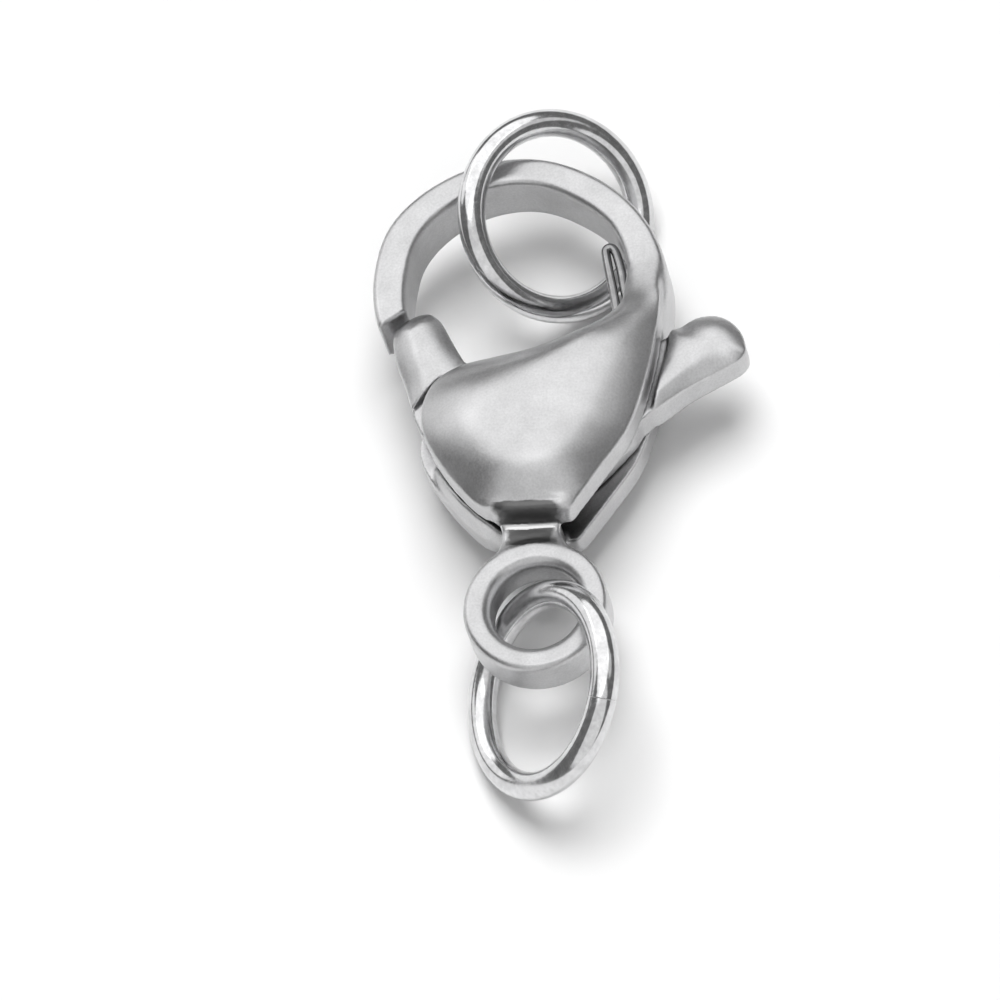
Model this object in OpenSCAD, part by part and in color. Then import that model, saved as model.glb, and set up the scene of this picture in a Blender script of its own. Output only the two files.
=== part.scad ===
// Lobster clasp with a jump ring in its hook and another in its end eye, all of stainless steel.
// The lever's axis is the Z axis, the hook points along +Y, and the back lies on Z = 0.

/* [Thickness] */
// Thickness over the two puffed cheeks
clasp_t = 3.0; // [2.8:0.05:3.3]
// Thickness of the hook's band, front to back
hook_t = 1.1; // [1.0:0.05:1.2]
// Gap between the two cheeks that the lever turns in
slot_w = 0.64; // [0.6:0.02:0.7]
// Height of each cheek's upright rim
rim_h = 0.48; // [0.4:0.02:0.55]

/* [Hook] */
// Outer radius of the hook
hook_r = 2.5; // [2.4:0.05:2.6]
// Width of the hook's band
hook_band = 0.55; // [0.48:0.01:0.62]
// Height of the hook's centre over the lever's axis
hook_y = 3.6; // [3.5:0.05:3.7]
// Rounding of the band's long edges
edge_r = 0.12; // [0.06:0.01:0.16]

/* [Cheeks] */
// Width of the cheeks
cheek_w = 4.0; // [3.9:0.05:4.1]
// Length of the cheeks, from the neck to the shoulder's end
cheek_l = 5.6; // [5.5:0.05:5.7]
// How far the back cheek stands out past the front one on the gate's side
flare = 0.14; // [0:0.02:0.2]
// How much of the back's swell is ground flat, so that it lies still
ground = 0.12; // [0.1:0.01:0.16]

/* [End eye] */
// Diameter of the eye's hole
eye_hole_d = 1.54; // [1.54:0.02:1.7]
// Rounding of the hole's edges
eye_soft = 0.22; // [0.2:0.01:0.26]
// Width of the metal round the eye's hole
eye_band = 0.45; // [0.42:0.01:0.47]
// Thickness of the eye
eye_t = 0.86; // [0.8:0.02:0.88]
// Distance from the lever's axis down to the eye's centre
eye_y = 2.56; // [2.5:0.02:2.7]
// Distance from the lever's axis across to the eye's centre
eye_x = 0.36; // [0.3:0.02:0.4]
// Width of the neck above the eye
neck_w = 1.0; // [0.9:0.02:1.04]

/* [Lever] */
// Thickness of the lever inside the slot
lever_t = 0.56; // [0.5:0.02:0.58]
// Diameter of the lever's hub
hub_d = 1.7; // [1.5:0.05:1.9]
// How far the gate's tip stops short of the middle of the hook's end
tip_play = 0.1; // [0.09:0.01:0.16]
// Width of the gate
gate_w = 0.9; // [0.8:0.02:0.92]
// Thickness of the gate outside the slot
gate_t = 1.15; // [1.0:0.05:1.3]
// Distance from the axis to the end of the thumb tab
tab_reach = 4.45; // [4.2:0.05:4.7]
// Width of the thumb tab
tab_w = 1.05; // [0.9:0.05:1.1]
// Thickness of the thumb tab outside the slot
tab_t = 1.0; // [0.8:0.05:1.2]
// Thickness of the gate and the thumb tab at their edges
lever_rim = 0.52; // [0.4:0.02:0.56]

/* [Pivot pin] */
// Diameter of the pivot pin
pin_d = 0.7; // [0.5:0.02:0.8]
// Radial clearance of the lever on its pin
pin_play = 0.03; // [0.02:0.01:0.06]
// Radial gap round the pin in the cheeks
seat_play = 0.015; // [0.01:0.005:0.03]

/* [Spring] */
// Diameter of the spring's wire
spring_wire = 0.16; // [0.12:0.01:0.18]

/* [Jump rings] */
// Outer diameter of each jump ring
ring_od = 3.72; // [3.66:0.02:3.78]
// Diameter of the rings' wire
ring_wire = 0.48; // [0.44:0.02:0.52]

/* [Hidden] */

steel = [0.80, 0.80, 0.82];
bright = [0.88, 0.88, 0.90];
past = 0.02;                        // how far a cutting shape runs past what it cuts
hook_z = clasp_t / 2;               // the middle plane of the hook's band
slot_z = 0.513 * clasp_t;           // the middle plane of the slot, the lever and the eye
hook_c = [-0.06 * hook_r, hook_y];
eye_c = [eye_x, -eye_y];
eye_r = eye_hole_d / 2 + eye_band;
rim_z = slot_w / 2 + rim_h;         // height of a cheek's rim over the slot's middle plane
pin_l = slot_z + 0.7 * clasp_t / 2; // the pin stops under the front cheek's skin
ring_r = (ring_od - ring_wire) / 2;
neck_x = 0.0525 * cheek_w;          // the neck's middle, between the cheeks' lower ends
neck_gap = 0.08;                    // gap between the lever's hub and the neck, where the slot ends
hook_end_turn = 195.5;              // direction of the hook's end from the hook's centre
hook_end = hook_c + (hook_r - hook_band / 2) * [cos(hook_end_turn), sin(hook_end_turn)];
gate_reach = norm(hook_end) - tip_play;
gate_turn = atan2(hook_end[1], hook_end[0]) - 3.4;
tab_turn = 35.7;                    // direction of the tab from the axis

// A smooth curve through rows of any width, with n steps from each row to the next
function between(p, q, r, s, t) =
    ((2 * q) + (r - p) * t + (2 * p - 5 * q + 4 * r - s) * t * t + (3 * q - p - 3 * r + s) * t * t * t) / 2;
function closed_curve(rows, n) = let (m = len(rows)) [
    for (i = [0:m - 1]) for (k = [0:n - 1])
        between(rows[(i + m - 1) % m], rows[i], rows[(i + 1) % m], rows[(i + 2) % m], k / n)];
function open_curve(rows, n) = let (m = len(rows) - 1) [
    for (i = [0:m - 1]) for (k = [0:(i == m - 1 ? n : n - 1)])
        between(rows[max(i - 1, 0)], rows[i], rows[i + 1], rows[min(i + 2, m)], k / n)];

// A skin over equal rings of points, closed by its first and its last ring
module skin(rings) {
    n = len(rings[0]);
    last = len(rings) - 1;
    polyhedron(
        points = [for (ring = rings) each ring],
        faces = [
            [for (i = [n - 1:-1:0]) i],
            [for (i = [0:n - 1]) last * n + i],
            for (k = [0:last - 1]) for (i = [0:n - 1]) let (a = k * n, j = (i + 1) % n)
                each [[a + i, a + n + j, a + n + i], [a + i, a + j, a + n + j]]]);
}

// A pillow, whose outline is drawn in ring by ring to a spine along its middle.
// Outline rows are [x, y, place on the spine from 0 to 1, height of the edge], spine rows are
// [x, y, height]. The underside is as puffed as the top, or flat at a height where flat_at gives one.
module pillow(outline, spine, flat_at) {
    n = len(outline);
    m = len(spine) - 1;
    place = [for (row = outline) round(min(max(row[2], 0), 1) * m)];
    // The ring at a share s of the way in, over or under
    over = function(h) h;
    under = function(h) is_undef(flat_at) ? -h : flat_at;
    ring = function(s, side) [for (i = [0:n - 1])
        let (a = outline[i], b = spine[place[i]], swell = 1 - pow(1 - s, 1.9))
            [a[0] + (b[0] - a[0]) * s, a[1] + (b[1] - a[1]) * s, side(a[3] + (b[2] - a[3]) * swell)]];
    below = is_undef(flat_at) ? len(draw_in) - 1 : 0;
    rings = concat(
        [for (k = [below:-1:0]) ring(draw_in[k], under)],
        [for (s = draw_in) ring(s, over)]);
    count = len(rings);
    low = count * n;
    high = low + m + 1;
    last = (count - 1) * n;
    polyhedron(
        points = concat(
            [for (r = rings) each r],
            [for (row = spine) [row[0], row[1], under(row[2])]],
            [for (row = spine) [row[0], row[1], over(row[2])]]),
        faces = [
            for (k = [0:count - 2]) for (i = [0:n - 1]) let (a = k * n, j = (i + 1) % n)
                each [[a + i, a + n + i, a + n + j], [a + i, a + n + j, a + j]],
            for (i = [0:n - 1]) let (j = (i + 1) % n)
                each [[i, j, low + place[i]], [last + j, last + i, high + place[i]]],
            for (i = [0:n - 1]) let (j = (i + 1) % n, p = place[i], q = place[j])
                if (p != q) let (step = q > p ? 1 : -1)
                    for (k = [p:step:q - step])
                        each [[j, low + k + step, low + k], [last + j, high + k, high + k + step]]]);
}
// Shares of the way in at which a pillow is stepped, closer together near its edge
draw_in = [0, 0.03, 0.08, 0.16, 0.28, 0.42, 0.6, 0.8];

// The cheeks' outline, from the neck up the right side and back down the left.
// Columns: x as a share of cheek_w, y as a share of cheek_l, place on the spine,
// height of the edge as a share of rim_z, and how much of the flare it takes
cheek_rows = [
    [0.176, -0.186, 0.00, 0.54, 0.0],
    [0.212, -0.176, 0.01, 0.84, 0.0],
    [0.262, -0.148, 0.06, 0.98, 0.0],
    [0.362, -0.045, 0.20, 1.00, 0.0],
    [0.470, 0.080, 0.38, 1.00, 0.0],
    [0.532, 0.223, 0.56, 1.00, 0.0],
    [0.572, 0.375, 0.72, 1.00, 0.0],
    [0.584, 0.518, 0.84, 0.90, 0.0],
    [0.570, 0.634, 0.92, 0.74, 0.0],
    [0.540, 0.725, 0.97, 0.58, 0.0],
    [0.480, 0.760, 1.00, 0.50, 0.0],
    [0.432, 0.715, 0.97, 0.56, 0.0],
    [0.418, 0.616, 0.93, 0.68, 0.0],
    [0.408, 0.530, 0.86, 0.82, 0.0],
    [0.322, 0.461, 0.77, 0.96, 0.0],
    [0.200, 0.414, 0.67, 1.00, 0.0],
    [0.050, 0.375, 0.57, 1.00, 0.0],
    [-0.112, 0.350, 0.49, 1.00, 0.0],
    [-0.250, 0.328, 0.42, 1.00, 0.1],
    [-0.352, 0.285, 0.37, 1.00, 0.4],
    [-0.405, 0.218, 0.32, 1.00, 0.8],
    [-0.414, 0.139, 0.29, 1.00, 1.0],
    [-0.375, 0.050, 0.25, 1.00, 1.0],
    [-0.275, -0.062, 0.17, 1.00, 1.0],
    [-0.165, -0.155, 0.06, 0.97, 0.9],
    [-0.090, -0.174, 0.01, 0.80, 0.5],
    [-0.062, -0.186, 0.00, 0.54, 0.0]];
// The middle line of the cheeks' swell, from near the neck up into the hook's shoulder.
// Columns: x as a share of cheek_w, y as a share of cheek_l, height as a share of the whole swell
swell_rows = [
    [0.056, -0.168, 0.80],
    [0.054, -0.105, 0.91],
    [0.050, -0.020, 0.97],
    [0.062, 0.075, 0.98],
    [0.115, 0.170, 0.98],
    [0.205, 0.268, 0.96],
    [0.320, 0.360, 0.87],
    [0.435, 0.455, 0.68],
    [0.490, 0.560, 0.48],
    [0.488, 0.700, 0.34]];

// One cheek over the slot's middle plane, flat towards the slot and puffed on its face
module cheek(out, swell) {
    outline = closed_curve([for (row = cheek_rows)
        [row[0] * cheek_w - row[4] * out, row[1] * cheek_l, row[2], row[3] * rim_z]], 4);
    spine = open_curve([for (row = swell_rows) [row[0] * cheek_w, row[1] * cheek_l, row[2] * swell]], 3);
    pillow(outline, spine, slot_w / 2);
}

// The hook's band. Columns: angle of the inner edge round the hook's centre, outer radius as a share
// of hook_r, width as a share of hook_band, and degrees that the outer edge runs ahead
hook_rows = [
    [-33,  1.056, 0.62, 11],
    [-20,  1.050, 0.98, 4],
    [0,    1.020, 1.24, 0],
    [30,   0.964, 1.02, 0],
    [60,   0.948, 1.00, 0],
    [90,   0.986, 0.95, 0],
    [120,  1.012, 0.94, 0],
    [150,  1.050, 1.05, 0],
    [170,  1.028, 1.07, 0],
    [184,  1.018, 1.04, 0],
    [193,  1.012, 0.99, 5]];
// A section from x = 0 to its width, with its inner corners rounded by q and its outer ones by r
function rounded(width, t, q, r, cuts) = [
    for (c = [
        [q, q - t / 2, 180, q], [width - r, r - t / 2, 270, r],
        [width - r, t / 2 - r, 0, r], [q, t / 2 - q, 90, q]])
        for (k = [0:cuts]) let (a = c[2] + k * 90 / cuts) [c[0] + c[3] * cos(a), c[1] + c[3] * sin(a)]];
function hook_ring_of(row) = let (width = hook_band * row[2], inner = hook_r * row[1] - width)
    [for (p = rounded(width, hook_t, edge_r, edge_r, 2)) let (a = row[0] + row[3] * p[0] / width)
        [hook_c[0] + (inner + p[0]) * cos(a), hook_c[1] + (inner + p[0]) * sin(a), hook_z + p[1]]];

module hook() skin([for (row = open_curve(hook_rows, 5)) hook_ring_of(row)]);

module eye()
    translate([eye_c[0], eye_c[1], slot_z])
        rotate_extrude($fn = 96) translate([eye_hole_d / 2, 0])
            polygon(rounded(eye_band, eye_t, eye_soft, edge_r, 4));

// The block between the cheeks' lower ends, where the slot stops
module neck() {
    low = eye_c[1] + eye_r - eye_band / 2;
    high = -hub_d / 2 - neck_gap;
    neck_t = 0.86 * eye_t;
    translate([neck_x - neck_w / 2, low, slot_z - neck_t / 2]) cube([neck_w, high - low, neck_t]);
}

module clasp_body() {
    color(steel)
    difference() {
        union() {
            translate([0, 0, slot_z]) cheek(0, clasp_t - slot_z);
            translate([0, 0, slot_z]) mirror([0, 0, 1]) cheek(flare, slot_z + ground);
            hook();
            neck();
            eye();
        }
        translate([-cheek_w, -cheek_l, -clasp_t]) cube([2 * cheek_w, 2.5 * cheek_l, clasp_t]);
        translate([0, 0, -past]) cylinder(h = pin_l + seat_play + past, d = pin_d + 2 * seat_play, $fn = 48);
    }
}

// The gate's puffed end. Columns: distance from the axis as a share of gate_reach, offset across as
// a share of gate_w, place on the spine, and the edge's height as a share of half of lever_rim
gate_rows = [
    [0.603, 0.351, 0.00, 1.05],
    [0.650, 0.362, 0.00, 1.12],
    [0.753, 0.396, 0.30, 1.40],
    [0.856, 0.444, 0.80, 1.55],
    [0.911, 0.450, 1.00, 1.60],
    [0.970, 0.356, 1.00, 1.60],
    [0.999, 0.100, 1.00, 1.60],
    [0.999, -0.190, 1.00, 1.60],
    [0.972, -0.430, 1.00, 1.60],
    [0.850, -0.680, 0.70, 1.50],
    [0.687, -0.845, 0.10, 1.20],
    [0.599, -0.940, 0.00, 1.05],
    [0.559, -0.978, 0.00, 1.05],
    [0.587, -0.667, 0.00, 1.05],
    [0.604, -0.311, 0.00, 1.05]];
// Columns of both spines: along and across as above, height as a share of the swell
gate_spine = [
    [0.735, -0.210, 0.97],
    [0.815, -0.145, 1.00],
    [0.892, -0.056, 0.90]];
// The thumb tab's puffed end, with columns as above and shares of tab_reach and tab_w
tab_rows = [
    [0.550, -0.410, 0.00, 1.05],
    [0.629, -0.407, 0.03, 1.0],
    [0.719, -0.409, 0.25, 1.0],
    [0.888, -0.486, 0.95, 1.0],
    [0.934, -0.484, 1.00, 1.0],
    [0.973, -0.390, 1.00, 1.0],
    [0.999, -0.076, 1.00, 1.0],
    [0.989, 0.246, 1.00, 1.0],
    [0.951, 0.469, 1.00, 1.0],
    [0.892, 0.591, 0.95, 1.0],
    [0.828, 0.609, 0.70, 1.0],
    [0.786, 0.624, 0.50, 1.0],
    [0.741, 0.400, 0.25, 1.05],
    [0.707, 0.251, 0.10, 1.05],
    [0.629, -0.048, 0.00, 1.05],
    [0.563, -0.306, 0.00, 1.05]];
tab_spine = [
    [0.735, -0.090, 0.96],
    [0.810, -0.030, 1.00],
    [0.888, 0.029, 0.92]];
// The flat plate under each puffed end and through the slot, in the same shares without a place
gate_plate = [
    [0.000, -0.880], [0.392, -0.880], [0.595, -0.889], [0.687, -0.795], [0.850, -0.630], [0.958, -0.410],
    [0.985, -0.180], [0.985, 0.085], [0.959, 0.310], [0.905, 0.400], [0.852, 0.396], [0.754, 0.346],
    [0.635, 0.306], [0.486, 0.255], [0.241, 0.255], [0.054, 0.660]];
tab_plate = [
    [0.000, -0.760], [0.213, -0.750], [0.337, -0.640], [0.427, -0.540], [0.479, -0.430], [0.562, -0.370],
    [0.719, -0.367], [0.888, -0.440], [0.927, -0.430], [0.959, -0.342], [0.984, -0.060], [0.975, 0.222],
    [0.939, 0.420],
    [0.888, 0.543], [0.827, 0.562], [0.786, 0.571], [0.036, 0.943], [-0.071, 0.570]];

module puffed_end(rows, spine, reach, width, t)
    pillow(
        closed_curve([for (row = rows) [row[0] * reach, row[1] * width, row[2], row[3] * lever_rim / 2]], 3),
        open_curve([for (row = spine) [row[0] * reach, row[1] * width, row[2] * t / 2]], 3));

// The lever, flat at z = 0. The gate's offsets count to its right, the tab's to its left
module lever_blank() {
    linear_extrude(lever_t, center = true) {
        circle(d = hub_d, $fn = 64);
        rotate(gate_turn) polygon([for (p = gate_plate) [p[0] * gate_reach, -p[1] * gate_w]]);
        rotate(tab_turn) polygon([for (p = tab_plate) [p[0] * tab_reach, p[1] * tab_w]]);
    }
    rotate(gate_turn) puffed_end(gate_rows, gate_spine, gate_reach, -gate_w, gate_t);
    rotate(tab_turn) puffed_end(tab_rows, tab_spine, tab_reach, tab_w, tab_t);
}

module lever() {
    color(steel) translate([0, 0, slot_z])
    difference() {
        lever_blank();
        translate([0, 0, -lever_t]) cylinder(h = 2 * lever_t, d = pin_d + 2 * pin_play, $fn = 48);
    }
}

module pivot_pin() {
    color(bright) translate([0, 0, seat_play]) cylinder(h = pin_l - seat_play, d = pin_d, $fn = 48);
}

// The hairpin's middle line: down the hook's inner side, round the bend at the top, back down, through
// the slot over the tab's arm and up to the gate's flank. Columns: x and y as shares of hook_r
hairpin_rows = [
    [0.674, 1.160], [0.671, 1.300], [0.637, 1.448], [0.612, 1.580], [0.584, 1.688], [0.560, 1.752],
    [0.528, 1.780], [0.500, 1.760], [0.504, 1.708], [0.532, 1.568], [0.572, 1.380], [0.600, 1.220],
    [0.608, 1.060], [0.568, 0.932], [0.460, 0.836], [0.280, 0.720], [0.080, 0.600], [-0.060, 0.528],
    [-0.186, 0.476]];

module lever_spring() {
    line = open_curve([for (row = hairpin_rows) row * hook_r], 3);
    last = len(line) - 1;
    color(bright) translate([0, 0, slot_z])
        skin([for (i = [0:last])
            let (d = line[min(i + 1, last)] - line[max(i - 1, 0)], across = [d[1], -d[0]] / norm(d))
                [for (a = [22.5:45:360])
                    [each line[i] + across * cos(a) * spring_wire / 2, sin(a) * spring_wire / 2]]]);
}

// A jump ring that leans towards a direction and touches the ground
module jump_ring(place, lean, toward) {
    color(bright) translate([place[0], place[1], ring_r * sin(lean) + ring_wire / 2])
        rotate([0, lean, toward]) rotate_extrude($fn = 96) translate([ring_r, 0])
            circle(d = ring_wire, $fn = 48);
}

module hook_ring() jump_ring(hook_c + 0.692 * hook_r * [cos(74.4), sin(74.4)], 41.9, -29.7);
module eye_ring() jump_ring(eye_c + 0.806 * ring_r * [cos(-85.9), sin(-85.9)], 42.85, -167.2);

clasp_body();
lever();
pivot_pin();
lever_spring();
hook_ring();
eye_ring();
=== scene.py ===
import bpy, bmesh, math
from mathutils import Matrix, Vector


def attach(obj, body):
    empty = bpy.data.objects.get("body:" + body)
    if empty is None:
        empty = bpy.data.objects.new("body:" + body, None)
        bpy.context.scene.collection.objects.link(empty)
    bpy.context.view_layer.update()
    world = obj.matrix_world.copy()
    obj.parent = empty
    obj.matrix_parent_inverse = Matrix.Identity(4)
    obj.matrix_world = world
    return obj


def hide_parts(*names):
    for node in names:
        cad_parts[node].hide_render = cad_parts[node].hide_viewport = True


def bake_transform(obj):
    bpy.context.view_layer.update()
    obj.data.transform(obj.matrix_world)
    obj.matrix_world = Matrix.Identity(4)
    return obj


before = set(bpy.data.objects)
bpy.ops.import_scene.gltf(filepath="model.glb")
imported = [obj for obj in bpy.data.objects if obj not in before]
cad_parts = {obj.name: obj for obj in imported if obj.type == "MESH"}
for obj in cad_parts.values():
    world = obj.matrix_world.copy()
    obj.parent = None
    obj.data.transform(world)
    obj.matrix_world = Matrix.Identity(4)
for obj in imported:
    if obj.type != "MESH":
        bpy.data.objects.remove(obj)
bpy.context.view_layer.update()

metre = 0.001          # shapes are drawn in millimetres and shrunk when they are done
mergeWithin = 0.00001  # points of a seam that are this close, in mm, are one

# Sizes that several pieces share, in mm. The floor is z = 0 and the lever turns round x = y = 0
shared = {
    "slotHeight": 1.539,
    "slotGap": 0.64,
    "faceHeight": 3.0,
    "hookRadius": 2.5,
    "hookMiddle": (-0.15, 3.6),
    "roundSides": 96,
    "softness": 0.5,       # how far each smoothing pass goes
}


def curveThrough(rows, steps, closed=False):
    # a smooth curve through rows of numbers, with so many steps from each row to the next
    count = len(rows)
    spans = count if closed else count - 1
    curve = []
    for i in range(spans):
        if closed:
            near = [rows[(i + k) % count] for k in (-1, 0, 1, 2)]
        else:
            near = [rows[min(max(i + k, 0), count - 1)] for k in (-1, 0, 1, 2)]
        for k in range(steps):
            t = k / steps
            curve.append([(2 * q + (r - p) * t + (2 * p - 5 * q + 4 * r - s) * t * t
                           + (3 * q - p - 3 * r + s) * t ** 3) / 2
                          for p, q, r, s in zip(*near)])
    if not closed:
        curve.append(list(rows[-1]))
    return curve


def alongCurve(curve, share):
    # the place at a share of a curve, between its points
    at = min(max(share, 0.0), 1.0) * (len(curve) - 1)
    low = min(int(at), len(curve) - 2)
    part = at - low
    return [a + (b - a) * part for a, b in zip(curve[low], curve[low + 1])]


def wrapSheet(shape, around, rows, placeOf):
    # a sheet rolled into a tube: every point is moved to its place, the seam is merged and the
    # two ends are closed
    made = bmesh.ops.create_grid(shape, x_segments=around, y_segments=rows - 1, size=1)["verts"]
    for vert in made:
        i = round((vert.co.x + 1) / 2 * around) % around
        j = round((vert.co.y + 1) / 2 * (rows - 1))
        vert.co = placeOf(i, j)
    bmesh.ops.remove_doubles(shape, verts=made, dist=mergeWithin)
    rim = [e for e in shape.edges if e.is_boundary]
    caps = bmesh.ops.holes_fill(shape, edges=rim, sides=0)["faces"]
    bmesh.ops.triangulate(shape, faces=caps)
    bmesh.ops.recalc_face_normals(shape, faces=shape.faces)


def newShape(build, *values):
    # a mesh in the making, with what build puts in it
    shape = bmesh.new()
    build(shape, *values)
    return shape


def joinShapes(shapes):
    # several closed shapes in one, still overlapping
    whole = bmesh.new()
    for shape in shapes:
        part = bpy.data.meshes.new("part")
        shape.to_mesh(part)
        shape.free()
        whole.from_mesh(part)
        bpy.data.meshes.remove(part)
    return whole


def pieceFrom(shape, name):
    mesh = bpy.data.meshes.new(name)
    shape.to_mesh(mesh)
    shape.free()
    piece = bpy.data.objects.new(name, mesh)
    bpy.context.scene.collection.objects.link(piece)
    return piece


def applyModifiers(piece):
    ready = piece.evaluated_get(bpy.context.evaluated_depsgraph_get())
    mesh = bpy.data.meshes.new_from_object(ready)
    old = piece.data
    piece.modifiers.clear()
    piece.data = mesh
    bpy.data.meshes.remove(old)
    mesh.name = piece.name


def finishPiece(piece):
    # the modifiers are made real, then the mesh is shrunk from millimetres to metres
    applyModifiers(piece)
    piece.vertex_groups.clear()
    piece.data.transform(Matrix.Scale(metre, 4))
    for face in piece.data.polygons:
        face.use_smooth = True
    return piece


def fuse(piece, grain, passes, blends=()):
    # overlapping shapes become one skin, softened a little all over and more at the blends
    remesh = piece.modifiers.new("fuse", "REMESH")
    remesh.mode = "VOXEL"
    remesh.voxel_size = grain
    remesh.use_smooth_shade = True
    soften = piece.modifiers.new("soften", "SMOOTH")
    soften.factor = shared["softness"]
    soften.iterations = passes
    applyModifiers(piece)
    for number, blend in enumerate(blends):
        group = piece.vertex_groups.new(name="blend" + str(number))
        middle, reach = Vector(blend["at"]), Vector(blend["reach"])
        for vert in piece.data.vertices:
            off = vert.co - middle
            far = math.sqrt(sum((off[k] / reach[k]) ** 2 for k in range(3)))
            if far < 1:                # in full up to half way out, then less and less
                group.add([vert.index], min(1, 2 * (1 - far)), "REPLACE")
        merge = piece.modifiers.new("blend" + str(number), "SMOOTH")
        merge.vertex_group = group.name
        merge.factor = shared["softness"]
        merge.iterations = blend["passes"]


def drill(piece, radius, low, high):
    # a round hole for the pin, between two heights
    cutter = bmesh.new()
    bmesh.ops.create_cone(cutter, cap_ends=True, segments=shared["roundSides"],
                          radius1=radius, radius2=radius, depth=high - low)
    bmesh.ops.translate(cutter, verts=cutter.verts, vec=(0, 0, (low + high) / 2))
    tool = pieceFrom(cutter, "drill_bit")
    hole = piece.modifiers.new("hole", "BOOLEAN")
    hole.operation = "DIFFERENCE"
    hole.solver = "EXACT"
    hole.object = tool
    applyModifiers(piece)
    bpy.data.objects.remove(tool)


# How an outline is puffed up: its rings crowd at the edge, and the last stops short of the spine
puffing = {
    "crowding": 1.5, "innermost": 0.97,
    "bulge": 1.9,                      # the higher it is, the more steeply the shape rises
    "endShare": 0.06,                  # how much of the spine counts as its first end
}


def puff(shape, outline, spine, underAt, rings, bulge=puffing["bulge"], endBulge=puffing["bulge"]):
    # Outline points are [x, y, share of the spine, height], spine points [x, y, height].
    # The outline is drawn in to the spine ring by ring, over a flat underside or a mirrored one
    steps = [(k / (rings - 1)) ** puffing["crowding"] * puffing["innermost"] for k in range(rings)]
    sides = [(s, 1) for s in steps]
    if underAt is None:
        sides = [(s, -1) for s in reversed(steps)] + sides
    else:
        sides = [(0, 0)] + sides

    def placeOf(i, j):
        x, y, share, edge = outline[i]
        s, side = sides[j]
        if side == 0:
            return (x, y, underAt)
        sx, sy, height = alongCurve(spine, share)
        atEnd = max(0, 1 - share / puffing["endShare"])
        swell = 1 - (1 - s) ** (bulge + (endBulge - bulge) * atEnd)
        z = edge + (height - edge) * swell
        return (x + (sx - x) * s, y + (sy - y) * s, z * side)

    wrapSheet(shape, len(outline), len(sides), placeOf)


def roundedSection(width, thickness, inner, outer, cuts):
    # a section from x = 0 to its width, with its inner and its outer corners rounded
    corners = ((inner, inner - thickness / 2, 180, inner),
               (width - outer, outer - thickness / 2, 270, outer),
               (width - outer, thickness / 2 - outer, 0, outer),
               (inner, thickness / 2 - inner, 90, inner))
    return [(x + r * math.cos(math.radians(a + k * 90 / cuts)),
             y + r * math.sin(math.radians(a + k * 90 / cuts)))
            for x, y, a, r in corners for k in range(cuts + 1)]


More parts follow.
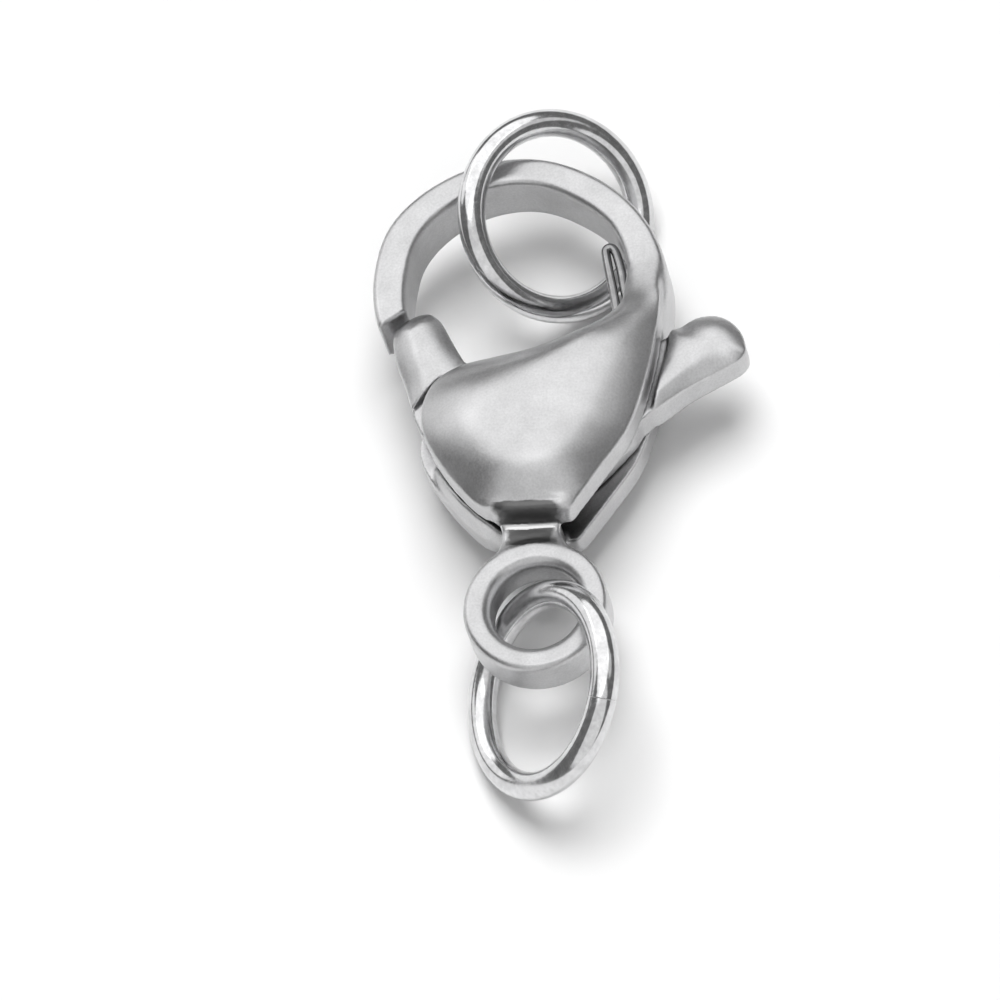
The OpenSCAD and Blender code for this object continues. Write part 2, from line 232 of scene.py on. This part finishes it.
# The body: two puffed cheeks, the hook, the neck and the end eye
body = {
    "cheekWidth": 4.0, "cheekLength": 5.6, "cheekSteps": 10, "cheekRings": 24,
    "rimHeight": 0.8, "bulge": 2.25, "endBulge": 6,
    "flare": 0.14, "ground": 0.12,     # how far the back cheek stands out, and is ground off
    "hookBand": 0.55, "hookThickness": 1.1, "hookEdge": 0.12, "hookCuts": 4, "hookSteps": 12,
    "eyeMiddle": (0.36, -2.56), "eyeHole": 0.77, "eyeSoft": 0.22, "eyeBand": 0.45,
    "eyeThickness": 0.86, "eyeCuts": 8, "eyeSteps": 120,
    "sillHeight": 1.1, "sillUnder": 0.5, "sillSides": 16, "sillSteps": 8,
    "neckMiddle": 0.21, "neckThickness": 0.74, "leanFrom": -1.1, "leanOver": 0.6,
    # half of the neck's width, and where along the clasp
    "neckHalf": ((0.50, -0.93), (0.49, -1.15), (0.51, -1.28), (0.57, -1.42), (0.68, -1.56),
                 (0.84, -1.72)),
    "grain": 0.038, "softening": 3, "pinHole": 0.37, "pinTop": 2.61,
    # where the cast skin runs together more softly
    "blends": ({"at": (1.95, 3.75, 2.15), "reach": (0.62, 0.85, 0.5), "passes": 50},
               {"at": (-0.30, -1.35, 1.54), "reach": (0.45, 0.5, 0.8), "passes": 30},
               {"at": (0.80, -1.35, 1.54), "reach": (0.45, 0.5, 0.8), "passes": 30}),
    # x and y as shares of the width and length, share of the spine, height of the rim, flare
    "cheekOutline": (
        (0.190, -0.186, 0.00, 0.54, 0.0), (0.236, -0.178, 0.00, 0.84, 0.0),
        (0.262, -0.152, 0.02, 0.98, 0.0), (0.362, -0.045, 0.20, 1.00, 0.0),
        (0.470, 0.080, 0.38, 1.00, 0.0), (0.532, 0.223, 0.56, 1.00, 0.0),
        (0.572, 0.375, 0.72, 1.00, 0.0), (0.584, 0.518, 0.84, 0.90, 0.0),
        (0.570, 0.634, 0.92, 0.74, 0.0), (0.540, 0.725, 0.97, 0.58, 0.0),
        (0.480, 0.760, 1.00, 0.50, 0.0), (0.432, 0.715, 0.97, 0.56, 0.0),
        (0.418, 0.616, 0.93, 0.68, 0.0), (0.408, 0.530, 0.86, 0.82, 0.0),
        (0.322, 0.461, 0.77, 0.96, 0.0), (0.200, 0.414, 0.67, 1.00, 0.0),
        (0.050, 0.375, 0.57, 1.00, 0.0), (-0.112, 0.350, 0.49, 1.00, 0.0),
        (-0.250, 0.328, 0.42, 1.00, 0.1), (-0.352, 0.285, 0.37, 1.00, 0.8),
        (-0.405, 0.218, 0.32, 1.00, 1.4), (-0.414, 0.139, 0.29, 1.00, 1.6),
        (-0.375, 0.050, 0.25, 1.00, 1.3), (-0.275, -0.062, 0.17, 1.00, 1.0),
        (-0.160, -0.150, 0.02, 0.97, 0.9), (-0.096, -0.174, 0.00, 0.80, 0.5),
        (-0.066, -0.186, 0.00, 0.54, 0.0)),
    # x and y in mm, height over the sill's foot, half of the width
    "sill": ((-1.60, 0.66, 0.00, 0.10), (-1.51, 0.36, 0.22, 0.12), (-1.19, -0.16, 0.46, 0.13),
             (-0.82, -0.58, 0.50, 0.13), (-0.43, -0.88, 0.46, 0.13), (-0.14, -1.02, 0.22, 0.12)),
    # x and y as above, height as a share of the swell
    "cheekSpine": (
        (0.054, -0.158, 0.60), (0.054, -0.112, 0.77), (0.050, -0.035, 0.92), (0.062, 0.075, 0.98),
        (0.115, 0.170, 0.98), (0.205, 0.268, 0.96), (0.320, 0.360, 0.87), (0.435, 0.455, 0.68),
        (0.490, 0.560, 0.48), (0.488, 0.700, 0.34)),
    # angle of the inner edge, outer radius and width as shares, lead of the outer edge
    "hookSections": (
        (-33, 1.056, 0.62, 11), (-20, 1.050, 0.98, 4), (0, 1.020, 1.24, 0), (30, 0.964, 1.02, 0),
        (60, 0.948, 1.00, 0), (90, 0.986, 0.95, 0), (120, 1.012, 0.94, 0), (150, 1.050, 1.05, 0),
        (170, 1.028, 1.07, 0), (184, 1.018, 1.04, 0), (193, 1.012, 0.99, 5)),
}


def buildCheek(shape, out, swell, front):
    width, length, steps = body["cheekWidth"], body["cheekLength"], body["cheekSteps"]
    outline = curveThrough([(x * width - f * out, y * length, share, rim * body["rimHeight"])
                            for x, y, share, rim, f in body["cheekOutline"]], steps, closed=True)
    spine = curveThrough([(x * width, y * length, h * swell)
                          for x, y, h in body["cheekSpine"]], steps)
    puff(shape, outline, spine, shared["slotGap"] / 2, body["cheekRings"],
         body["bulge"], body["endBulge"])
    for vert in shape.verts:
        # the back is ground flat where it would go under the floor
        z = vert.co.z if front else -vert.co.z
        vert.co.z = max(shared["slotHeight"] + z, 0)
    bmesh.ops.recalc_face_normals(shape, faces=shape.faces)


def buildSill(shape):
    # the back cheek's edge stands up where it leaves only a thin slit
    rows = curveThrough(body["sill"], body["sillSteps"])
    around = body["sillSides"]

    def placeOf(i, j):
        x, y, high, wide = rows[j]
        run = Vector(rows[min(j + 1, len(rows) - 1)][:2]) - Vector(rows[max(j - 1, 0)][:2])
        across = Vector((run.y, -run.x)).normalized()
        a = math.tau * i / around
        return (x + across.x * wide * math.cos(a), y + across.y * wide * math.cos(a),
                body["sillHeight"] + max(math.sin(a), -body["sillUnder"]) * high)

    wrapSheet(shape, around, len(rows), placeOf)


def buildHook(shape):
    sections = curveThrough(body["hookSections"], body["hookSteps"])
    middle, edge, cuts = shared["hookMiddle"], body["hookEdge"], body["hookCuts"]

    def placeOf(i, j):
        angle, outer, share, lead = sections[j]
        width = body["hookBand"] * share
        inner = shared["hookRadius"] * outer - width
        x, z = roundedSection(width, body["hookThickness"], edge, edge, cuts)[i]
        a = math.radians(angle + lead * x / width)
        return (middle[0] + (inner + x) * math.cos(a), middle[1] + (inner + x) * math.sin(a),
                shared["faceHeight"] / 2 + z)

    wrapSheet(shape, 4 * (cuts + 1), len(sections), placeOf)


def buildEye(shape):
    section = roundedSection(body["eyeBand"], body["eyeThickness"], body["eyeSoft"],
                             body["hookEdge"], body["eyeCuts"])
    ring = bmesh.ops.create_circle(shape, segments=len(section), radius=1)["verts"]
    for vert, (x, z) in zip(ring, section):
        vert.co = (body["eyeHole"] + x, 0, z)
    edges = list(shape.edges)
    bmesh.ops.spin(shape, geom=ring + edges, cent=(0, 0, 0), axis=(0, 0, 1), angle=math.tau,
                   steps=body["eyeSteps"], use_merge=True)
    bmesh.ops.recalc_face_normals(shape, faces=shape.faces)
    bmesh.ops.translate(shape, verts=shape.verts, vec=(*body["eyeMiddle"], shared["slotHeight"]))


def buildNeck(shape):
    # a plate that flares and leans over where it runs into the eye
    middle, thickness = body["neckMiddle"], body["neckThickness"]
    rim = [(middle + w, y) for w, y in body["neckHalf"]]
    rim += [(2 * middle - x, y) for x, y in reversed(rim)]
    edge = bmesh.ops.create_circle(shape, segments=len(rim), radius=1, cap_ends=True)["verts"]
    for vert, (x, y) in zip(edge, rim):
        leaned = min(max((body["leanFrom"] - y) / body["leanOver"], 0), 1)
        vert.co = (x + (body["eyeMiddle"][0] - middle) * leaned, y,
                   shared["slotHeight"] - thickness / 2)
    pulled = bmesh.ops.extrude_face_region(shape, geom=list(shape.faces))["geom"]
    bmesh.ops.translate(shape, verts=[g for g in pulled if isinstance(g, bmesh.types.BMVert)],
                        vec=(0, 0, thickness))
    bmesh.ops.triangulate(shape, faces=shape.faces)
    bmesh.ops.recalc_face_normals(shape, faces=shape.faces)


print("body")
claspBody = pieceFrom(joinShapes([
    newShape(buildCheek, 0, shared["faceHeight"] - shared["slotHeight"], True),
    newShape(buildCheek, body["flare"], shared["slotHeight"] + body["ground"], False),
    newShape(buildSill),
    newShape(buildHook), newShape(buildNeck), newShape(buildEye)]), "cast_body")
fuse(claspBody, body["grain"], body["softening"], body["blends"])
drill(claspBody, body["pinHole"], -shared["faceHeight"], body["pinTop"])
finishPiece(claspBody)
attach(claspBody, "clasp")
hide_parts("clasp_body")

# The lever: a flat plate through the slot with a puffed gate and a puffed thumb tab
lever = {
    "thickness": 0.56, "hubRadius": 0.85, "rim": 0.52, "bore": 0.38,
    "gateReach": 3.68, "gateTurn": 123.96, "gateWidth": 0.9, "gateThickness": 1.15,
    "tabReach": 4.45, "tabTurn": 35.7, "tabWidth": 1.05, "tabThickness": 1.0,
    "steps": 8, "rings": 14, "grain": 0.03, "softening": 3,
    # along and across as shares, share of the spine, height of the rim
    "gateOutline": (
        (0.603, 0.351, 0.00, 1.45), (0.650, 0.362, 0.10, 1.45), (0.753, 0.396, 0.40, 1.40),
        (0.856, 0.444, 0.80, 1.35), (0.911, 0.450, 1.00, 1.30), (0.970, 0.356, 1.00, 1.20),
        (0.999, 0.100, 1.00, 1.10), (0.999, -0.190, 1.00, 1.10), (0.972, -0.430, 1.00, 1.10),
        (0.850, -0.680, 0.70, 1.15), (0.687, -0.845, 0.18, 1.20), (0.599, -0.940, 0.00, 1.35),
        (0.575, -0.960, 0.00, 1.35), (0.590, -0.667, 0.00, 1.60), (0.604, -0.311, 0.00, 1.60)),
    "gateSpine": ((0.615, -0.290, 0.98), (0.790, -0.156, 1.00), (0.892, -0.056, 0.90)),
    "tabOutline": (
        (0.550, -0.410, 0.00, 1.10), (0.629, -0.407, 0.12, 1.05), (0.719, -0.409, 0.35, 1.0),
        (0.888, -0.486, 0.95, 1.0), (0.934, -0.484, 1.00, 1.0), (0.973, -0.390, 1.00, 1.0),
        (0.999, -0.076, 1.00, 1.0), (0.989, 0.246, 1.00, 1.0), (0.951, 0.469, 1.00, 1.0),
        (0.892, 0.591, 0.95, 1.0), (0.828, 0.609, 0.70, 1.0), (0.786, 0.624, 0.55, 1.2),
        (0.741, 0.400, 0.40, 1.5), (0.707, 0.251, 0.28, 1.6), (0.629, -0.048, 0.00, 1.7),
        (0.563, -0.306, 0.00, 1.3)),
    "tabSpine": ((0.625, -0.120, 0.95), (0.810, -0.030, 1.00), (0.888, 0.029, 0.92)),
    # along and across as shares
    "gatePlate": (
        (0.000, -0.880), (0.300, -1.020), (0.383, -1.090), (0.459, -1.094), (0.532, -1.040),
        (0.593, -0.965), (0.687, -0.850), (0.850, -0.670),
        (0.958, -0.410), (0.985, -0.180), (0.985, 0.085), (0.959, 0.310), (0.905, 0.400),
        (0.852, 0.396), (0.754, 0.346), (0.635, 0.306), (0.486, 0.255), (0.241, 0.255),
        (0.054, 0.660)),
    "tabPlate": (
        (0.000, -0.760), (0.213, -0.750), (0.337, -0.640), (0.427, -0.540), (0.479, -0.430),
        (0.562, -0.370), (0.719, -0.367), (0.888, -0.440), (0.927, -0.430), (0.959, -0.342),
        (0.984, -0.060), (0.975, 0.222), (0.939, 0.420), (0.888, 0.543), (0.827, 0.562),
        (0.786, 0.571), (0.036, 0.943), (-0.071, 0.570)),
}


def turnAndLift(shape, degrees):
    bmesh.ops.rotate(shape, verts=shape.verts, cent=(0, 0, 0),
                     matrix=Matrix.Rotation(math.radians(degrees), 3, "Z"))
    bmesh.ops.translate(shape, verts=shape.verts, vec=(0, 0, shared["slotHeight"]))
    bmesh.ops.recalc_face_normals(shape, faces=shape.faces)


def buildLeverEnd(shape, rows, spineRows, reach, width, thickness, turn):
    outline = curveThrough([(a * reach, b * width, share, rim * lever["rim"] / 2)
                            for a, b, share, rim in rows], lever["steps"], closed=True)
    spine = curveThrough([(a * reach, b * width, h * thickness / 2)
                          for a, b, h in spineRows], lever["steps"])
    puff(shape, outline, spine, None, lever["rings"])
    turnAndLift(shape, turn)


def buildPlate(shape, rows, reach, width, turn):
    edge = bmesh.ops.create_circle(shape, segments=len(rows), radius=1, cap_ends=True)["verts"]
    for vert, (a, b) in zip(edge, rows):
        vert.co = (a * reach, b * width, -lever["thickness"] / 2)
    pulled = bmesh.ops.extrude_face_region(shape, geom=list(shape.faces))["geom"]
    bmesh.ops.translate(shape, verts=[g for g in pulled if isinstance(g, bmesh.types.BMVert)],
                        vec=(0, 0, lever["thickness"]))
    bmesh.ops.triangulate(shape, faces=shape.faces)
    turnAndLift(shape, turn)


def buildHub(shape):
    bmesh.ops.create_cone(shape, cap_ends=True, segments=shared["roundSides"],
                          radius1=lever["hubRadius"], radius2=lever["hubRadius"],
                          depth=lever["thickness"])
    turnAndLift(shape, 0)


print("lever")
claspLever = pieceFrom(joinShapes([
    newShape(buildLeverEnd, lever["gateOutline"], lever["gateSpine"], lever["gateReach"],
             -lever["gateWidth"], lever["gateThickness"], lever["gateTurn"]),
    newShape(buildLeverEnd, lever["tabOutline"], lever["tabSpine"], lever["tabReach"],
             lever["tabWidth"], lever["tabThickness"], lever["tabTurn"]),
    newShape(buildPlate, lever["gatePlate"], lever["gateReach"], -lever["gateWidth"],
             lever["gateTurn"]),
    newShape(buildPlate, lever["tabPlate"], lever["tabReach"], lever["tabWidth"],
             lever["tabTurn"]),
    newShape(buildHub)]), "gate_lever")
fuse(claspLever, lever["grain"], lever["softening"])
drill(claspLever, lever["bore"], 0, shared["faceHeight"])
finishPiece(claspLever)
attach(claspLever, "lever")
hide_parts("lever")

# The jump rings, cut once and closed again. Sizes in mm, and in degrees the width of the cut, how
# far a ring leans off the floor, where it leans to and where it is cut
rings = {
    "radius": 1.62, "wire": 0.24, "cut": 0.5, "sides": 32, "steps": 160,
    "hook": {"middle": (0.315, 5.266), "lean": 41.9, "toward": -29.7, "cutAt": 5},
    "eye": {"middle": (0.453, -3.862), "lean": 42.85, "toward": -167.2, "cutAt": 146},
}


def buildRing(shape, ring):
    circle = bmesh.ops.create_circle(shape, cap_ends=True, segments=rings["sides"],
                                     radius=rings["wire"],
                                     matrix=Matrix.Rotation(math.pi / 2, 4, "X"))["verts"]
    bmesh.ops.translate(shape, verts=circle, vec=(rings["radius"], 0, 0))
    bmesh.ops.rotate(shape, verts=circle, cent=(0, 0, 0),
                     matrix=Matrix.Rotation(math.radians(ring["cutAt"] + rings["cut"] / 2), 3, "Z"))
    start = list(shape.verts) + list(shape.edges) + list(shape.faces)
    bmesh.ops.spin(shape, geom=start, cent=(0, 0, 0), axis=(0, 0, 1), steps=rings["steps"],
                   angle=math.radians(360 - rings["cut"]), use_duplicate=False)
    bmesh.ops.recalc_face_normals(shape, faces=shape.faces)
    for cap in [f for f in shape.faces if len(f.verts) == rings["sides"]]:
        for edge in cap.edges:
            edge.smooth = False
    lean = math.radians(ring["lean"])
    height = rings["radius"] * math.sin(lean) + rings["wire"]
    place = (Matrix.Translation((*ring["middle"], height))
             @ Matrix.Rotation(math.radians(ring["toward"]), 4, "Z")
             @ Matrix.Rotation(lean, 4, "Y"))
    bmesh.ops.transform(shape, matrix=place, verts=shape.verts)


print("rings")
for which, node in (("hook", "hook_ring"), ("eye", "eye_ring")):
    piece = pieceFrom(newShape(buildRing, rings[which]), which + "_jump_ring")
    finishPiece(piece)
    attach(piece, "clasp")
    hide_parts(node)
    rings[which]["piece"] = piece

# The hairpin spring, from the hook's inner side to the gate's flank
spring = {
    "wire": 0.08, "sides": 16, "steps": 8,
    # x and y as shares of the hook's radius
    "line": (
        (0.674, 1.160), (0.671, 1.300), (0.637, 1.448), (0.612, 1.580), (0.584, 1.688),
        (0.560, 1.752), (0.528, 1.780), (0.500, 1.760), (0.504, 1.708), (0.532, 1.568),
        (0.572, 1.380), (0.600, 1.220), (0.608, 1.060), (0.568, 0.932), (0.460, 0.836),
        (0.280, 0.720), (0.080, 0.600), (-0.060, 0.528), (-0.186, 0.476)),
    # between these points, in mm, it goes over from the body's turn to the lever's
    "bendsFrom": (1.5, 2.9, 1.539), "bendsTo": (-0.5, 1.2, 1.539),
}


def buildSpring(shape):
    line = [Vector((x * shared["hookRadius"], y * shared["hookRadius"]))
            for x, y in curveThrough(spring["line"], spring["steps"])]

    def placeOf(i, j):
        run = line[min(j + 1, len(line) - 1)] - line[max(j - 1, 0)]
        across = Vector((run.y, -run.x)).normalized()
        a = math.tau * i / spring["sides"]
        side = line[j] + across * math.cos(a) * spring["wire"]
        return (side.x, side.y, shared["slotHeight"] + math.sin(a) * spring["wire"])

    wrapSheet(shape, spring["sides"], len(line), placeOf)


print("spring")
hairpin = finishPiece(pieceFrom(newShape(buildSpring), "hairpin_spring"))
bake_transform(hairpin)
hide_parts("lever_spring")

# Finishes: tones, grain and clouds in waves per mm, and painted shade where the surface is closed
# in
finishes = {
    "satin": {"tone": 0.62, "roughness": 0.34, "roughnessSpread": 0.08,
              "grainSize": 26, "grainDepth": 0.07, "grainTone": 0.85,
              "cloudSize": 2.2, "cloudTone": 0.88, "paintedShade": 0.03, "paintedShadeReach": 1.0},
    "polished": {"tone": 0.78, "roughness": 0.15, "roughnessSpread": 0.05,
                 "grainSize": 12, "grainDepth": 0.04, "grainTone": 0.9,
                 "cloudSize": 3, "cloudTone": 0.8, "paintedShade": 0.2, "paintedShadeReach": 0.3},
    "spring": {"tone": 0.36, "roughness": 0.2, "roughnessSpread": 0.05,
               "grainSize": 12, "grainDepth": 0.04, "grainTone": 0.9,
               "cloudSize": 3, "cloudTone": 0.7, "paintedShade": 0.1, "paintedShadeReach": 0.2},
    # painted at the neck: a dark band where the dome drops into it (painted dark reflection), a
    # dark patch on its top and a ragged light line between them (painted highlight); middle and
    # reach in mm, how ragged, and its tone
    "neckPaintedShadeAndHighlight": (
        {"at": (0.22, -0.965, 2.15), "reach": (0.58, 0.10, 0.50), "ragged": 0.6, "tone": 0.13},
        {"at": (0.24, -1.27, 1.95), "reach": (0.43, 0.18, 0.40), "ragged": 0.8, "tone": 0.15},
        {"at": (0.22, -1.10, 1.95), "reach": (0.48, 0.03, 0.40), "ragged": 4.0, "tone": 0.7},
    ),
    "paintedSpotWaves": 4, "paintedSpotDetail": 5, "paintedSpotBorder": (0.85, 1.05),
    "noiseSpan": (0.3, 0.7),           # the part of the noise that is used
    "grainDetail": 2, "cloudDetail": 3, "grainHeight": 0.02,
    "paintedShadeSpan": (0.4, 0.7), "paintedShadeSamples": 8,     # from closed in to open for the painted shade, and rays for each point
    "blueShare": 1.01,                 # the steel is a touch cool
}


def remap(nodes, links, value, span, low, high):
    # a number's span stretched to run from low to high, and no further
    stretch = nodes.new("ShaderNodeMapRange")
    stretch.inputs["From Min"].default_value, stretch.inputs["From Max"].default_value = span
    stretch.inputs["To Min"].default_value = low
    stretch.inputs["To Max"].default_value = high
    links.new(value, stretch.inputs["Value"])
    return stretch.outputs["Result"]


def noise(nodes, links, place, waves, detail):
    # cloudy noise with so many waves in a millimetre
    cloud = nodes.new("ShaderNodeTexNoise")
    cloud.inputs["Scale"].default_value = waves / metre
    cloud.inputs["Detail"].default_value = detail
    links.new(place.outputs["Object"], cloud.inputs["Vector"])
    return cloud.outputs["Fac"]


def mixTones(nodes, links, kind, share, first, second):
    mix = nodes.new("ShaderNodeMix")
    mix.data_type = "RGBA"
    mix.blend_type = kind
    # a Mix node keeps its factor at 0 and its two colours at 6 and 7
    for socket, value in ((mix.inputs[0], share), (mix.inputs[6], first), (mix.inputs[7], second)):
        if isinstance(value, (int, float, tuple)):
            socket.default_value = value
        else:
            links.new(value, socket)
    return mix.outputs[2]


def maths(nodes, links, kind, *values):
    # one step of arithmetic, on numbers or on other nodes' outputs
    step = nodes.new("ShaderNodeMath")
    step.operation = kind
    for socket, value in zip(step.inputs, values):
        if isinstance(value, float):
            socket.default_value = value
        else:
            links.new(value, socket)
    return step.outputs["Value"]


def paintedSpotShare(nodes, links, place, paintedSpot):
    # 1 inside a painted spot at the neck, 0 outside, with a ragged border
    spot = nodes.new("ShaderNodeMapping")
    spot.vector_type = "TEXTURE"
    spot.inputs["Location"].default_value = [v * metre for v in paintedSpot["at"]]
    spot.inputs["Scale"].default_value = [v * metre for v in paintedSpot["reach"]]
    links.new(place.outputs["Object"], spot.inputs["Vector"])
    size = nodes.new("ShaderNodeVectorMath")
    size.operation = "ABSOLUTE"
    links.new(spot.outputs["Vector"], size.inputs[0])
    parts = nodes.new("ShaderNodeSeparateXYZ")
    links.new(size.outputs["Vector"], parts.inputs["Vector"])
    wide = maths(nodes, links, "MAXIMUM", parts.outputs["X"], parts.outputs["Y"])
    far = maths(nodes, links, "MAXIMUM", wide, parts.outputs["Z"])
    cloud = noise(nodes, links, place, finishes["paintedSpotWaves"], finishes["paintedSpotDetail"])
    rough = maths(nodes, links, "MULTIPLY_ADD", cloud, paintedSpot["ragged"], far)
    border = [v + paintedSpot["ragged"] / 2 for v in finishes["paintedSpotBorder"]]
    return remap(nodes, links, rough, border, 1, 0)


def steel(name, look, neckPaintedShadeAndHighlight=()):
    finish = bpy.data.materials.new(name)
    finish.use_nodes = True
    nodes, links = finish.node_tree.nodes, finish.node_tree.links
    shader = nodes["Principled BSDF"]
    shader.inputs["Metallic"].default_value = 1
    place = nodes.new("ShaderNodeTexCoord")
    # painted shade: the tone is darkened where the piece closes in on itself, within the reach of
    # the occlusion rays
    shadeOcclusion = nodes.new("ShaderNodeAmbientOcclusion")
    shadeOcclusion.samples = finishes["paintedShadeSamples"]
    shadeOcclusion.only_local = True
    shadeOcclusion.inputs["Distance"].default_value = look["paintedShadeReach"] * metre
    tones = nodes.new("ShaderNodeValToRGB")
    paintedShadeStop, clear = tones.color_ramp.elements
    paintedShadeStop.position, clear.position = finishes["paintedShadeSpan"]
    paintedShadeStop.color = (look["paintedShade"], look["paintedShade"], look["paintedShade"], 1)
    clear.color = (look["tone"], look["tone"], look["tone"] * finishes["blueShare"], 1)
    links.new(shadeOcclusion.outputs["AO"], tones.inputs["Fac"])
    # grain and clouds darken the tone a little, and the grain also roughens it
    span = finishes["noiseSpan"]
    grain = noise(nodes, links, place, look["grainSize"], finishes["grainDetail"])
    cloud = noise(nodes, links, place, look["cloudSize"], finishes["cloudDetail"])
    colour = tones.outputs["Color"]
    for value, low in ((grain, look["grainTone"]), (cloud, look["cloudTone"])):
        colour = mixTones(nodes, links, "MULTIPLY", 1.0, colour,
                          remap(nodes, links, value, span, low, 1))
    # the neck's painted dark reflection, its dark patch and its painted highlight are laid over the
    # colour
    for paintedSpot in neckPaintedShadeAndHighlight:
        share = paintedSpotShare(nodes, links, place, paintedSpot)
        colour = mixTones(nodes, links, "MIX", share, colour,
                          (paintedSpot["tone"], paintedSpot["tone"], paintedSpot["tone"], 1))
    links.new(colour, shader.inputs["Base Color"])
    half = look["roughnessSpread"] / 2
    links.new(remap(nodes, links, grain, span, look["roughness"] - half, look["roughness"] + half),
              shader.inputs["Roughness"])
    bump = nodes.new("ShaderNodeBump")
    bump.inputs["Strength"].default_value = look["grainDepth"]
    bump.inputs["Distance"].default_value = finishes["grainHeight"] * metre
    links.new(grain, bump.inputs["Height"])
    links.new(bump.outputs["Normal"], shader.inputs["Normal"])
    return finish


print("finishes")
# the body's finish also carries the painted dark reflection, dark patch and painted highlight at
# the neck
cast = steel("cast_steel_finish", finishes["satin"], finishes["neckPaintedShadeAndHighlight"])
satin = steel("satin_steel_finish", finishes["satin"])
polished = steel("polished_steel_finish", finishes["polished"])
springWire = steel("spring_steel_finish", finishes["spring"])
for piece, finish in ((claspBody, cast), (claspLever, satin), (hairpin, springWire),
                      (rings["hook"]["piece"], polished), (rings["eye"]["piece"], polished),
                      (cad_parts["pivot_pin"], polished)):
    piece.data.materials.clear()
    piece.data.materials.append(finish)

# The floor, the lights and the camera
studio = {
    "floorSize": 600, "floorTone": 0.9, "floorRoughness": 0.9, "floorShine": 0.1,
    "surround": 0.17,
    # azimuth from the right and height in degrees, distance and size in mm, brightness,
    # and whether the lamp shows in the steel or lights the floor
    "lamps": {
        "overhead": (100, 68, 300, 560, 1.26, True),
        "left": (152, 24, 300, 220, 0.95, True),
        "right": (15, 42, 300, 160, 0.6, True),
        "front": (280, 40, 300, 540, 0.72, True),
        "key": (84, 71, 400, 280, 7.2, False),
        "fill": (290, 60, 400, 600, 0.75, False),
    },
}


def buildFloor(shape):
    bmesh.ops.create_grid(shape, x_segments=1, y_segments=1, size=studio["floorSize"] / 2 * metre)


def placeLamps():
    for name, (azimuth, height, distance, size, glow, onSteel) in studio["lamps"].items():
        light = bpy.data.lights.new(name, "AREA")
        light.shape = "DISK"
        light.size = size * metre
        # an even disc of this radiance gives off pi times pi times its width squared over four
        light.energy = glow * math.pi * math.pi * (size * metre) ** 2 / 4
        holder = bpy.data.objects.new(name, light)
        turn, rise = math.radians(azimuth), math.radians(height)
        way = Vector((math.cos(turn) * math.cos(rise), math.sin(turn) * math.cos(rise),
                      math.sin(rise)))
        holder.location = way * distance * metre
        holder.rotation_euler = way.to_track_quat("Z", "Y").to_euler()
        holder.visible_glossy = onSteel
        holder.visible_diffuse = not onSteel
        holder.visible_camera = False
        bpy.context.scene.collection.objects.link(holder)


print("studio")
floor = pieceFrom(newShape(buildFloor), "floor")
paper = bpy.data.materials.new("white_paper")
paper.use_nodes = True
matt, tone = paper.node_tree.nodes["Principled BSDF"].inputs, studio["floorTone"]
matt["Base Color"].default_value = (tone, tone, tone, 1)
matt["Roughness"].default_value = studio["floorRoughness"]
matt["Specular IOR Level"].default_value = studio["floorShine"]
floor.data.materials.append(paper)
placeLamps()

world = bpy.data.worlds.new("studio")
bpy.context.scene.world = world
world.use_nodes = True
sky = world.node_tree.nodes["Background"].inputs
sky["Color"].default_value = (1, 1, 1, 1)
sky["Strength"].default_value = studio["surround"]

camera = {
    "azimuth": 20, "elevation": 60, "distance": 110,
    "aim": (0, 0, 1.9),                # this point of the clasp, in mm,
    "aimAt": (520, 470),               # falls on this place of the picture
    "picture": 1000, "pixelsPerMm": 59.6, "sensor": 36,
    "sees": (0.005, 10),               # from and to this far, in metres
}


def placeCamera():
    across, tilt = math.radians(camera["azimuth"]), math.radians(90 - camera["elevation"])
    back = Vector((math.sin(tilt) * math.sin(across), -math.sin(tilt) * math.cos(across),
                   math.cos(tilt)))
    # the straight-down view's right and up, tipped over with it
    share = 1 / (1 + back.z)
    right = Vector((1 - back.x ** 2 * share, -back.x * back.y * share, -back.x))
    up = Vector((-back.x * back.y * share, 1 - back.y ** 2 * share, -back.y))
    away, picture = camera["distance"], camera["picture"]
    aside = [(v - picture / 2) / camera["pixelsPerMm"] for v in camera["aimAt"]]
    eye = Vector(camera["aim"]) + back * away - right * aside[0] + up * aside[1]
    lens = bpy.data.cameras.new("camera")
    lens.sensor_width = camera["sensor"]
    lens.lens = camera["pixelsPerMm"] * away / picture * camera["sensor"]
    lens.clip_start, lens.clip_end = camera["sees"]
    holder = bpy.data.objects.new("camera", lens)
    bpy.context.scene.collection.objects.link(holder)
    turn = Matrix((right, up, back)).transposed()
    holder.matrix_world = Matrix.Translation(eye * metre) @ turn.to_4x4()
    bpy.context.scene.camera = holder


placeCamera()
bpy.context.scene.view_settings.view_transform = "Standard"
